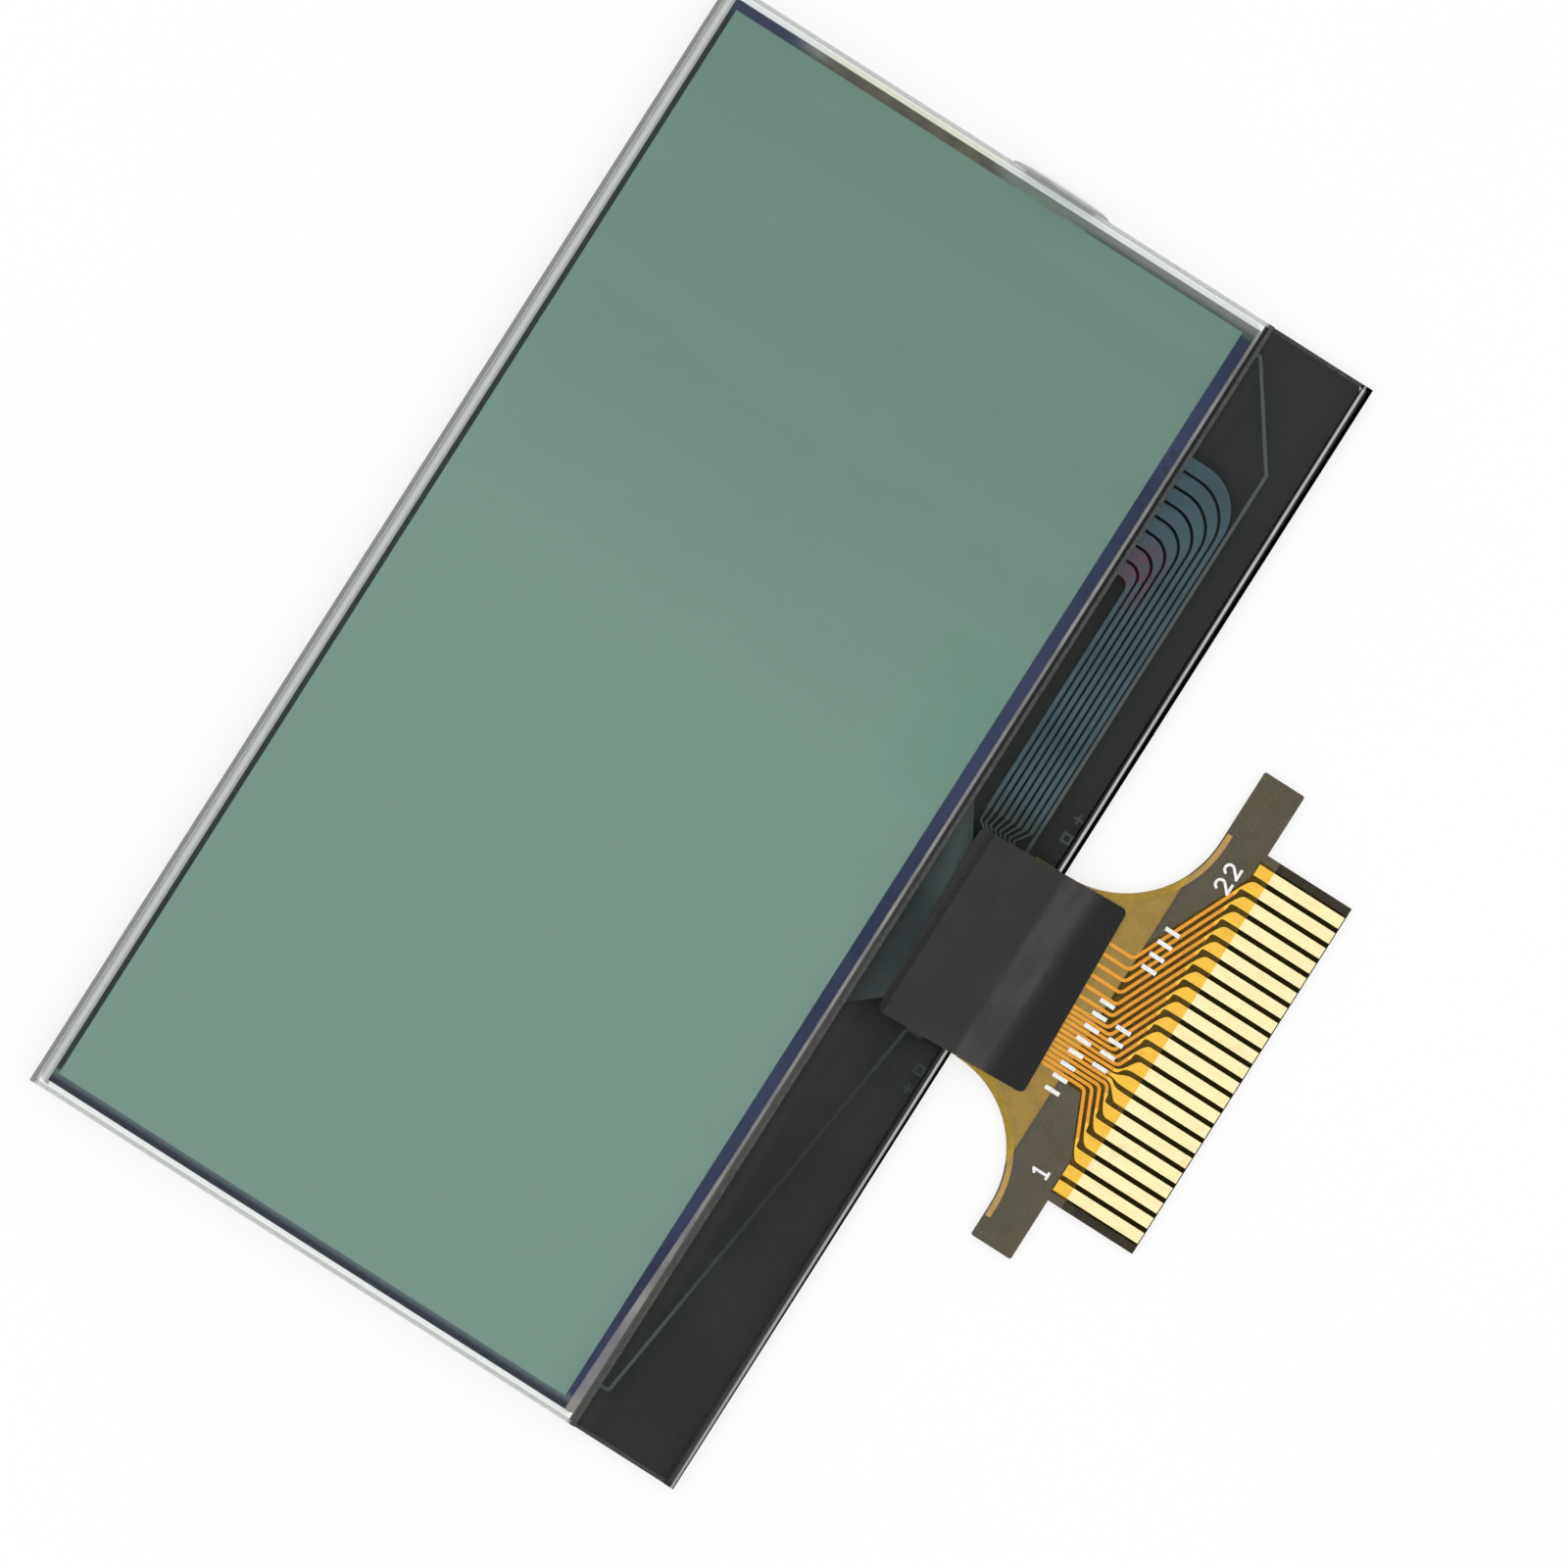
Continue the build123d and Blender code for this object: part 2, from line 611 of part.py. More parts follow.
def stiffener_face():
    return tail_outline() & rectangle(EAR_LEFT, EAR_RIGHT, tail_end_y, stiffener_y)


def tail_bond_film():
    film = rectangle(neck_left_x, neck_right_x, ledge_y + EDGE_CHAMFER, bond_end_y)
    return plate(film, clear_track_z, BUMP_HEIGHT)


# Tapes and print

def backing_tape():
    length = GLASS_LENGTH - 2 * BACKING_END_INSET
    low_y = ledge_y + BACKING_EDGE_INSET
    high_y = polariser_ledge_y - BACKING_TO_POLARISER
    middle = Pos(0, (low_y + high_y) / 2) * Rot(0, 0, BACKING_SKEW)
    face = middle * Rectangle(length, high_y - low_y)
    corners = face.vertices().sort_by(Axis.Y)[:2]
    return plate(fillet(corners, BACKING_CORNER), POLARISER_THICK - BACKING_THICK, BACKING_THICK)


def shield_tape():
    """A skewed tape that lies on the ledge, over the chip and down the bend of the tail."""
    foot_y = chip_inner_y + TAPE_CHIP_CLEARANCE
    drop_y = chip_outer_y - TAPE_CHIP_CLEARANCE
    last_y = ledge_y - TAPE_LENGTH
    bottom = [(0, front_glass_y, clear_track_z), (0, foot_y + TAPE_SLOPE_RUN, clear_track_z),
              (0, foot_y, chip_top_z), (0, drop_y, chip_top_z), (0, bond_end_y, tail_high_z + film_top)]
    top = [(x, y, z + TAPE_THICK) for x, y, z in bottom]
    edges = list(Polyline(*bottom).edges()) + bend_line(film_top, bond_end_y, last_y)
    edges += list(Polyline(*top).edges()) + bend_line(film_top + TAPE_THICK, bond_end_y, last_y)
    edges.append(Line(bottom[0], top[0]))
    edges.append(Line((0, last_y, tail_low_z + film_top), (0, last_y, tail_low_z + film_top + TAPE_THICK)))
    middle = Pos(NECK_CENTRE, (tape_start_y + tape_end_y) / 2)
    outline = Rot(0, 0, TAPE_SKEW) * RectangleRounded(TAPE_WIDTH, TAPE_LENGTH, TAPE_CORNER)
    return cut_from(pull_across(edges), middle * outline)


def digit_one():
    high = DIGIT_HEIGHT / 2
    stem = trace(Line((0, -high), (0, high)), DIGIT_STROKE)
    flag = trace(Line((0, high - DIGIT_STROKE / 2), (-ONE_FLAG, high - ONE_FLAG)), DIGIT_STROKE)
    foot = Pos(0, (DIGIT_STROKE - DIGIT_HEIGHT) / 2) * Rectangle(ONE_FOOT_WIDTH, DIGIT_STROKE)
    return stem + flag + foot


def digit_two():
    bowl = DIGIT_WIDTH / 2 - DIGIT_STROKE / 2
    bowl_y = DIGIT_HEIGHT / 2 - DIGIT_STROKE / 2 - bowl
    foot_y = (DIGIT_STROKE - DIGIT_HEIGHT) / 2
    head = CenterArc((0, bowl_y), bowl, TWO_HEAD_START, TWO_HEAD_SWEEP)
    slant = Line(head @ 0, (-bowl, foot_y))
    foot = Line((-DIGIT_WIDTH / 2, foot_y), (DIGIT_WIDTH / 2, foot_y))
    return trace(head, DIGIT_STROKE) + trace(slant, DIGIT_STROKE) + trace(foot, DIGIT_STROKE)


def pin_print():
    """The numbers of the first and last contact, and three rows of plain ticks."""
    digit_y = ledge_y - DIGIT_OFFSET
    last_x = contact_x(CONTACT_COUNT) - PAIR_DIGITS_INSET
    marks = [Pos(contact_x(1) + SINGLE_DIGIT_INSET, digit_y) * digit_one()]
    marks += [Pos(last_x + side * DIGIT_SPACING / 2, digit_y) * digit_two() for side in (-1, 1)]
    first_row_y = tape_end_y - TAPE_TO_TICKS - TICK_LENGTH / 2
    for count, centre_x, drop in zip(TICK_COUNTS, TICK_ROW_CENTRES, TICK_ROW_DROPS):
        for index in range(count):
            x = centre_x + (index - (count - 1) / 2) * TICK_PITCH
            marks.append(Pos(x, first_row_y - drop) * Rectangle(TICK_WIDTH, TICK_LENGTH))
    return group([plate(mark, tail_low_z + film_top, PRINT_THICK) for mark in marks])


def build_nodes():
    """Every piece by name; pieces that are cut round others are made after them."""
    nodes = {}
    nodes["front_polariser"] = polariser(front_polariser_z)
    nodes["front_glass"] = front_glass()
    nodes["rear_glass"] = rear_glass()
    nodes["rear_polariser"] = polariser(0)
    nodes["liquid_crystal"] = liquid_crystal()
    nodes["transfer_dots"] = transfer_dots()
    nodes["end_seal_plug"] = end_seal_plug()
    nodes["common_tracks"] = group([common_track(band) for band in range(COMMON_COUNT)])
    nodes["guard_tracks"] = group(guard_tracks())
    nodes["perimeter_seal"] = perimeter_seal([nodes["common_tracks"], nodes["guard_tracks"]],
                                             nodes["transfer_dots"])
    nodes["segment_tracks"] = group([segment_track(index) for index in range(SEGMENT_COUNT)])
    nodes["input_tracks"] = group([input_track(contact) for contact in wired_contacts()])
    nodes["alignment_marks"] = alignment_marks()
    nodes["driver_chip"] = driver_chip()
    nodes["chip_bumps"] = chip_bumps()
    nodes["chip_bond_film"] = chip_bond_film(nodes["chip_bumps"])
    nodes["tail_bond_film"] = tail_bond_film()
    nodes["tail_base_film"] = tail_base_film()
    track_faces = [copper_track(contact) for contact in wired_contacts()]
    nodes["contact_fingers"] = contact_row(0)
    nodes["tail_tracks"] = tail_copper(track_faces, 0)
    nodes["tear_guards"] = tail_copper(tear_guard_faces(), 0)
    nodes["tail_cover_film"] = tail_cover_film(track_faces + tear_guard_faces())
    nodes["tail_stiffener"] = plate(stiffener_face(), 0, stiffener_thick)
    nodes["stiffener_glue"] = plate(stiffener_face(), stiffener_thick, STIFFENER_GLUE_THICK - BOND_LINE)
    nodes["backing_tape"] = backing_tape()
    nodes["shield_tape"] = shield_tape()
    nodes["pin_print"] = pin_print()
    return nodes


os.makedirs("parts", exist_ok=True)
for name, shape in build_nodes().items():
    export_step(shape, f"parts/{name}.step")
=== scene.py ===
import math
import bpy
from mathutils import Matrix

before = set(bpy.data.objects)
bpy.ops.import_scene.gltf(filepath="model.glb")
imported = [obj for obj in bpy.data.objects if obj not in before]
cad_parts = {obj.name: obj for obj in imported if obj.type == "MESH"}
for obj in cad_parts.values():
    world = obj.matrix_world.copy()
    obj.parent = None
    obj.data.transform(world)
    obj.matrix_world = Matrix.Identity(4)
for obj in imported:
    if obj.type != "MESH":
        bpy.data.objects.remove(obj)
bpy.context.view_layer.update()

from types import SimpleNamespace

import bpy

MM = 0.001

# Places on the display that the finishes follow, in millimetres along the frame's own axes: +X
# runs along the glass to the last contact's end, and the tail leaves towards -Y.
GLASS_END_X = 29.3
GLASS_BACK_Y = 17.15
FRONT_GLASS_Y = -11.89
LEDGE_EDGE_Y = -17.15
CHAMFER = 0.18
POLARISER_X = (-28.86, 28.82)
POLARISER_BACK_Y = 16.45
POLARISER_LEDGE_Y = -11.53
SEAL_INNER_X = 28.35
SEAL_END_X = 28.2
SEAL_BACK_Y = 15.6
STAIN_Y = (2.4, 11.5)
NAVY_CORNER_Y = 12.8
FILL_PORT_Y = -0.5
GREENER_X = (3.0, 10.0)
GREENER_Y = (-11.5, -8.0)
NEAR_STEP_Y = -12.5
BACKING_EDGE_Y = -16.73

# The pale line of painted light along the ledge's outer edge, where the lit table shows through
# the glass. It leaves that edge by its skew for each millimetre of x.
PAINTED_LIGHT_LINE_Y = (-16.965, -16.855)
PAINTED_LIGHT_LINE_SKEW = 0.0045

# Clear conductor on the ledge: the guard lines at both ends, the bands with the red fringe at
# their bends, the single line beside them, the marks on the right, and the fan under the chip,
# whose middle is painted dark where the coat catches no reflection
FIRST_GUARD_X = -22.0
LAST_GUARD_X = 23.0
BANDS_X = 14.0
FRINGE_X = (15.0, 18.2)
FRINGE_Y = (-13.4, -11.9)
SINGLE_LINE_X = 5.0
SINGLE_LINE_Y = (-15.4, -15.05)
MARKS_X = (0.0, 7.0)
MARKS_Y = (-16.7, -16.0)
FAN_END_X = 5.0
FAN_UNREFLECTED_X = (-19.0, -7.5)

# The tail: where it bends down under the tape, the contacts, the end of the cover film, and the
# edge of the stiffener. The fan of copper rises from the outer contacts to two corners.
BEND_Y = (-18.75, -17.25)
BEND_END_Y = -19.05
TAIL_CENTRE_X = -0.08
STIFFENER_Y = -21.93
CONTACT_TOP_Y = -24.28
COVER_END_Y = -25.08
CONTACT_SIDE_X = 8.8
TRACK_RISE = 0.4553
FAN_RIGHT = (2.17, -21.67)
FAN_LEFT = (-4.42, -23.02)

# A limit past every side of the display, in millimetres
FAR = 99.0

WHITE = "#FFFFFF"


def colour(code):
    """A hex colour as a screen shows it, turned into the linear values that a shader takes."""
    parts = [int(code[i:i + 2], 16) / 255 for i in (1, 3, 5)]
    linear = [part / 12.92 if part <= 0.04045 else ((part + 0.055) / 1.055) ** 2.4
              for part in parts]
    return (*linear, 1.0)


def add(p, kind, inputs=(), output=None, **settings):
    """Adds a node with its settings, plain values and links, and gives back one of its outputs.
    The inputs are given in the order of the node's active sockets, or by their names."""
    node = p.tree.nodes.new("ShaderNode" + kind)
    for name, value in settings.items():
        setattr(node, name, value)
    if isinstance(inputs, dict):
        pairs = [(node.inputs[name], value) for name, value in inputs.items()]
    else:
        pairs = zip([socket for socket in node.inputs if socket.enabled], inputs)
    for socket, value in pairs:
        if isinstance(value, bpy.types.NodeSocket):
            p.tree.links.new(value, socket)
        else:
            socket.default_value = colour(value) if isinstance(value, str) else value
    if output is None:
        return next((socket for socket in node.outputs if socket.enabled), None)
    return node.outputs[output]


def blank(name):
    """An empty material, and where each point of it lies on the display, in millimetres."""
    material = bpy.data.materials.new(name)
    material.use_nodes = True
    p = SimpleNamespace(material=material, tree=material.node_tree)
    p.tree.nodes.clear()
    in_metres = add(p, "TexCoord", output="Object")
    p.place = add(p, "VectorMath", {"Vector": in_metres, "Scale": 1 / MM}, operation="SCALE")
    p.x, p.y = [add(p, "SeparateXYZ", [p.place], output=axis) for axis in "XY"]
    p.from_middle = add(p, "Math", [p.x], operation="ABSOLUTE")
    return p


def finish(p, shader):
    add(p, "OutputMaterial", {"Surface": shader})
    return p.material


def strip(p, value, low, high, soft):
    """1 where a value is between low and high, and 0 outside, with soft sides."""
    off_middle = add(p, "Math", [value, (low + high) / 2], operation="SUBTRACT")
    distance = add(p, "Math", [off_middle], operation="ABSOLUTE")
    half = (high - low) / 2
    return add(p, "MapRange", {"Value": distance, "From Min": half + soft,
                               "From Max": half - soft}, interpolation_type="SMOOTHSTEP")


def area(p, x_range, y_range, soft):
    """1 inside a rectangle of the display, seen from above, and 0 outside, with soft sides."""
    across = strip(p, p.x, *x_range, soft)
    along = strip(p, p.y, *y_range, soft)
    return add(p, "Math", [across, along], operation="MULTIPLY")


def grain(p, size, detail=2.0, roughness=0.5, length=(1.0, 1.0, 1.0)):
    """An uneven pattern from 0 to 1 whose patches are about size millimetres wide, and length
    times as long along each axis. Noise seldom leaves 0.3 to 0.7, so that range is spread
    out."""
    stretch = add(p, "Mapping", {"Vector": p.place, "Scale": [1 / factor for factor in length]})
    pattern = add(p, "TexNoise", {"Vector": stretch, "Scale": 1 / size, "Detail": detail,
                                  "Roughness": roughness})
    return add(p, "MapRange", {"Value": pattern, "From Min": 0.3, "From Max": 0.7},
               interpolation_type="SMOOTHSTEP")


def see_through(p, tint, haze, haze_share, gloss, roughness, relief_size, relief_depth):
    """A clear sheet. Its outer side tints and hazes what lies behind it, and its inner side
    adds nothing. Its gloss grows with the slant that it is seen at, and light on its way in is
    only tinted."""
    clear = add(p, "BsdfTransparent", {"Color": tint})
    film = add(p, "MixShader", [haze_share, clear, haze])
    relief = add(p, "Bump", {"Height": grain(p, relief_size), "Distance": relief_depth * MM})
    mirror = add(p, "BsdfAnisotropic", {"Roughness": roughness, "Normal": relief})
    head_on = 0.04
    slant = add(p, "MapRange", {"Value": add(p, "Fresnel", {"IOR": 1.5}), "From Min": head_on,
                                "To Max": gloss})
    film = add(p, "MixShader", [slant, film, mirror])
    film = add(p, "MixShader", [add(p, "LightPath", output="Is Shadow Ray"), film, clear])
    inner_side = add(p, "NewGeometry", output="Backfacing")
    return add(p, "MixShader", [inner_side, film, add(p, "BsdfTransparent", {"Color": WHITE})])


def seal_tone(p, stain, fine):
    """The seal under the polariser: navy along the ledge, dark grey along the back, slate at
    the contact 1 end, and at the other end grey with a brown stain and a navy corner."""
    tone = add(p, "Mix", [grain(p, 4.5), "#434364", "#4F4E74"], data_type="RGBA")
    along_back = strip(p, p.y, SEAL_BACK_Y, FAR, soft=0.3)
    tone = add(p, "Mix", [along_back, tone, "#3E4042"], data_type="RGBA")
    blend = 0.17
    inner_side = strip(p, p.from_middle, 0.0, SEAL_INNER_X + blend, soft=blend)
    slate = add(p, "Mix", [inner_side, "#42404F", "#797D88"], data_type="RGBA")
    first_end = strip(p, p.x, -FAR, -SEAL_END_X, soft=0.1)
    tone = add(p, "Mix", [first_end, tone, slate], data_type="RGBA")
    grey = add(p, "Mix", [inner_side, "#999093", "#666C69"], data_type="RGBA")
    at_port = strip(p, p.y, FILL_PORT_Y - 1.0, FILL_PORT_Y + 2.5, soft=2.0)
    grey = add(p, "Mix", [at_port, grey, "#8F938F"], data_type="RGBA")
    brown = add(p, "Mix", [fine, "#675A5A", "#807368"], data_type="RGBA")
    grey = add(p, "Mix", [stain, grey, brown], data_type="RGBA")
    navy_corner = strip(p, p.y, NAVY_CORNER_Y, FAR, soft=0.9)
    grey = add(p, "Mix", [navy_corner, grey, "#4B4B66"], data_type="RGBA")
    last_end = strip(p, p.x, SEAL_END_X, FAR, soft=0.1)
    return add(p, "Mix", [last_end, tone, grey], data_type="RGBA")


def rim_tone(p, stain, fine):
    """The cell past the polariser's edges: milky white, a little greyer on the last contact's
    half, creamy beside the stain, and grey along the back."""
    tone = add(p, "Mix", [fine, "#FCFCFC", "#FFFFFF"], data_type="RGBA")
    last_half = strip(p, p.x, 0.0, FAR, soft=0.1)
    tone = add(p, "Mix", [last_half, tone, "#F2F2F2"], data_type="RGBA")
    back_y = POLARISER_BACK_Y - 0.1
    along_back = strip(p, p.y, back_y, FAR, soft=0.05)
    tone = add(p, "Mix", [along_back, tone, "#DCDCDC"], data_type="RGBA")
    shade_width = 0.23
    shade = strip(p, p.y, back_y, back_y + shade_width, soft=0.06)
    tone = add(p, "Mix", [shade, tone, "#B6B6B6"], data_type="RGBA")
    creamy = add(p, "Math", [stain, last_half], operation="MULTIPLY")
    return add(p, "Mix", [creamy, tone, "#F0EDDD"], data_type="RGBA")


def cell_edge_tone(p):
    """The strip round the cell, under the polariser and past its edges."""
    stain = strip(p, p.y, *STAIN_Y, soft=0.8)
    fine = grain(p, 0.9, detail=3.0)
    covered_y = (POLARISER_LEDGE_Y - 0.3, POLARISER_BACK_Y)
    covered = area(p, POLARISER_X, covered_y, soft=0.02)
    return add(p, "Mix", [covered, rim_tone(p, stain, fine), seal_tone(p, stain, fine)],
               data_type="RGBA")


def twisted_nematic_fluid():
    """Liquid crystal fluid between rubbed plates. Drifts 14 mm wide and streaks 2 mm wide along
    the rubbing direction give the big face its quiet, slightly uneven grey-green."""
    p = blank("twisted_nematic_fluid")
    last_end = strip(p, p.x, 12.0, FAR, soft=14.0)
    tone = add(p, "Mix", [last_end, "#9BB4AA", "#889F97"], data_type="RGBA")
    drift = grain(p, 14.0, detail=1.0, length=(1.0, 8.0, 1.0))
    weak_drift = add(p, "Math", [drift, 0.4], operation="MULTIPLY")
    tone = add(p, "Mix", [weak_drift, tone, "#94AFA4"], data_type="RGBA")
    streak = grain(p, 1.8, length=(1.0, 20.0, 1.0))
    weak_streak = add(p, "Math", [streak, 0.16], operation="MULTIPLY")
    tone = add(p, "Mix", [weak_streak, tone, "#A0B8AF"], data_type="RGBA")
    greener = area(p, GREENER_X, GREENER_Y, soft=2.0)
    greener = add(p, "Math", [greener, 0.45], operation="MULTIPLY")
    tone = add(p, "Mix", [greener, tone, "#82AD9E"], data_type="RGBA")
    in_port = strip(p, p.from_middle, SEAL_INNER_X + 0.05, FAR, soft=0.1)
    tone = add(p, "Mix", [in_port, tone, cell_edge_tone(p)], data_type="RGBA")
    return finish(p, add(p, "BsdfPrincipled", {"Base Color": tone, "Roughness": 0.6,
                                               "Specular IOR Level": 0.0}))


def satin_polariser_film():
    """Polariser: iodine-dyed film with a satin top. Haze specks 0.1 mm wide dull it a little.
    Its knife-cut edge along the ledge is whitened, which draws the pale line there, wider at
    one end."""
    p = blank("satin_polariser_film")
    specks = add(p, "MapRange", {"Value": grain(p, 0.11), "From Min": 0.8, "From Max": 0.97})
    tone = add(p, "Mix", [specks, "#6E7F76", "#8A988F"], data_type="RGBA")
    first_end = strip(p, p.x, -FAR, -22.0, soft=8.0)
    narrow, wide = 0.16, 0.46
    reach = add(p, "MapRange", {"Value": first_end, "To Min": POLARISER_LEDGE_Y + narrow,
                                "To Max": POLARISER_LEDGE_Y + wide})
    cut = strip(p, add(p, "Math", [p.y, reach], operation="SUBTRACT"), -FAR, 0.0, soft=0.04)
    tone = add(p, "Mix", [cut, tone, "#A3A09B"], data_type="RGBA")
    haze = add(p, "BsdfPrincipled", {"Base Color": tone, "Roughness": 0.35,
                                     "Specular IOR Level": 0.3})
    whitened = add(p, "MapRange", {"Value": grain(p, 2.8, detail=3.0), "To Min": 0.42,
                                   "To Max": 0.78})
    dulled = add(p, "MapRange", {"Value": specks, "To Min": 0.05, "To Max": 0.07})
    share = add(p, "Mix", [cut, dulled, whitened])
    return finish(p, see_through(p, tint="#E5EEEB", haze=haze, haze_share=share, gloss=0.35,
                                 roughness=0.3, relief_size=0.07, relief_depth=0.0006))


def frosted_bevel(p, chips):
    """The bevels that the wheel frosted: grey over clear glass, darker along the back and
    beside the fill port."""
    along_back = strip(p, p.y, GLASS_BACK_Y - 1.5 * CHAMFER, FAR, soft=CHAMFER / 2)
    tone = add(p, "Mix", [chips, "#B9BBB8", "#D5D7D4"], data_type="RGBA")
    tone = add(p, "Mix", [along_back, tone, "#8E8E8E"], data_type="RGBA")
    port_y = (FILL_PORT_Y - 2.3, FILL_PORT_Y + 1.9)
    beside_port = area(p, (GLASS_END_X - 2 * CHAMFER, FAR), port_y, soft=0.5)
    tone = add(p, "Mix", [beside_port, tone, "#A2A5A4"], data_type="RGBA")
    relief = add(p, "Bump", {"Height": grain(p, 0.036, detail=3.0), "Distance": 0.01 * MM})
    frosted = add(p, "BsdfPrincipled", {"Base Color": tone, "Roughness": 0.6, "Normal": relief})
    share = add(p, "MapRange", {"Value": along_back, "To Min": 0.5, "To Max": 0.85})
    return add(p, "MixShader", [share, add(p, "BsdfTransparent", {"Color": WHITE}), frosted])


def dark_bevel(p, chips, glue):
    """The bevels of the ledge, where the dark tape shows through them. The outer bevel has a
    nearly black line of painted shade, with the pale line of painted light from the glue mask."""
    # Outer bevel: nearly black painted shade, and pale painted light where the glue mask is 1
    outer = add(p, "Mix", [glue, "#030303", "#A0A19E"], data_type="RGBA")
    others = add(p, "Mix", [chips, "#434443", "#5C5D5B"], data_type="RGBA")
    at_outer = strip(p, p.y, -FAR, LEDGE_EDGE_Y + 1.5 * CHAMFER, soft=CHAMFER / 4)
    tone = add(p, "Mix", [at_outer, others, outer], data_type="RGBA")
    return add(p, "BsdfPrincipled", {"Base Color": tone, "Roughness": 0.6,
                                     "Specular IOR Level": 0.0})


def clear_face(p, glue):
    """The flat faces: clear, but with nearly black painted shade in the slit that the tape
    leaves bare along the ledge's outer edge, with the pale line of painted light in it, dark on
    the step beside the polariser, and hazed along the back."""
    in_slit = strip(p, p.y, LEDGE_EDGE_Y, BACKING_EDGE_Y + 0.1, soft=0.03)
    at_step = strip(p, p.y, FRONT_GLASS_Y + CHAMFER, POLARISER_LEDGE_Y + 0.02, soft=0.02)
    haze_width = 0.33
    along_back = strip(p, p.y, GLASS_BACK_Y - haze_width, FAR, soft=0.1)

    # How much the pale line of painted light covers, uneven along it, and the painted shade
    # elsewhere in the slit
    uneven_painted_light = add(p, "MapRange", {"Value": grain(p, 1.5, detail=3.0), "To Min": 0.55,
                                      "To Max": 0.75})
    share = add(p, "Mix", [glue, 0.97, uneven_painted_light])
    share = add(p, "Math", [share, in_slit], operation="MULTIPLY")
    for place, cover in ((at_step, 0.9), (along_back, 0.4)):
        weaker = add(p, "Math", [place, cover], operation="MULTIPLY")
        share = add(p, "Math", [share, weaker], operation="MAXIMUM")

    # Painted shade in the slit: nearly black towards the last contact, dark grey towards the
    # first
    first_end = strip(p, p.x, -FAR, -10.0, soft=14.0)
    tone = add(p, "Mix", [first_end, "#080808", "#2E302E"], data_type="RGBA")
    # Painted light: the pale line where the glue mask is 1
    tone = add(p, "Mix", [glue, tone, "#9E9F9B"], data_type="RGBA")
    first_half = strip(p, p.x, -FAR, -2.0, soft=12.0)
    step_tone = add(p, "Mix", [first_half, "#2E3030", "#545450"], data_type="RGBA")
    tone = add(p, "Mix", [at_step, tone, step_tone], data_type="RGBA")
    tone = add(p, "Mix", [along_back, tone, "#8C8C8C"], data_type="RGBA")
    haze = add(p, "BsdfPrincipled", {"Base Color": tone, "Roughness": 0.8,
                                     "Specular IOR Level": 0.0})
    return see_through(p, tint="#FEFFFE", haze=haze, haze_share=share, gloss=0.5, roughness=0.03,
                       relief_size=2.0, relief_depth=0.0001)


def ground_float_glass():
    """Float glass with ground edges: clear faces with a mirror gloss, and bevels frosted by the
    wheel. The grit is 0.03 mm, with chips of 0.15 mm, so the bevels draw a grey rim round the
    plates. The ledge's own bevels look black where the dark tape shows through them. Along the
    ledge's outer edge lie nearly black painted shade and one pale line of painted light that
    runs slightly askew."""
    p = blank("ground_float_glass")
    chips = grain(p, 0.16, detail=4.0, roughness=0.7)
    # glue: the mask of the pale line of painted light along the ledge's outer edge
    askew = add(p, "Math", [p.x, -PAINTED_LIGHT_LINE_SKEW, p.y], operation="MULTIPLY_ADD")
    glue = strip(p, askew, *PAINTED_LIGHT_LINE_Y, soft=0.04)
    on_ledge = strip(p, p.y, -FAR, FRONT_GLASS_Y + 1.5 * CHAMFER, soft=CHAMFER / 4)
    bevels = add(p, "MixShader", [on_ledge, frosted_bevel(p, chips), dark_bevel(p, chips, glue)])
    clear = add(p, "BsdfTransparent", {"Color": WHITE})
    wall_haze = 0.12
    walls = add(p, "MixShader", [wall_haze, clear, bevels])

    # How level the surface lies: 1 on the faces, 0.7 on the bevels and 0 on the walls
    upward = add(p, "SeparateXYZ", [add(p, "TexCoord", output="Normal")], output="Z")
    level = add(p, "Math", [upward], operation="ABSOLUTE")
    on_bevel = strip(p, level, 0.3, 0.9, soft=0.05)
    on_wall = strip(p, level, -0.3, 0.3, soft=0.05)
    glass = add(p, "MixShader", [on_bevel, clear_face(p, glue), bevels])
    return finish(p, add(p, "MixShader", [on_wall, glass, walls]))


def cell_seal_epoxy():
    """Heat-cured epoxy between the plates: smooth, with slow changes of tone along the ring."""
    p = blank("cell_seal_epoxy")
    return finish(p, add(p, "BsdfPrincipled", {"Base Color": cell_edge_tone(p), "Roughness": 0.4,
                                               "Specular IOR Level": 0.0}))


def cured_acrylic_bead():
    """Clear acrylic glue cured in a lumpy bead over the fill port: dark where it meets the
    glass and paler towards its thin outer side, with lumps about 0.6 mm wide."""
    p = blank("cured_acrylic_bead")
    lumps = grain(p, 0.6, detail=3.0)
    tone = add(p, "Mix", [lumps, "#949795", "#ACAFAD"], data_type="RGBA")
    thin_side = strip(p, p.x, GLASS_END_X + 0.17, FAR, soft=0.1)
    tone = add(p, "Mix", [thin_side, tone, "#EBEDEC"], data_type="RGBA")
    in_port = strip(p, p.x, -FAR, GLASS_END_X - CHAMFER, soft=0.03)
    tone = add(p, "Mix", [in_port, tone, "#FFFFFF"], data_type="RGBA")
    relief = add(p, "Bump", {"Height": lumps, "Distance": 0.02 * MM})
    return finish(p, add(p, "BsdfPrincipled", {"Base Color": tone, "Roughness": 0.3,
                                               "Normal": relief, "Specular IOR Level": 0.3}))


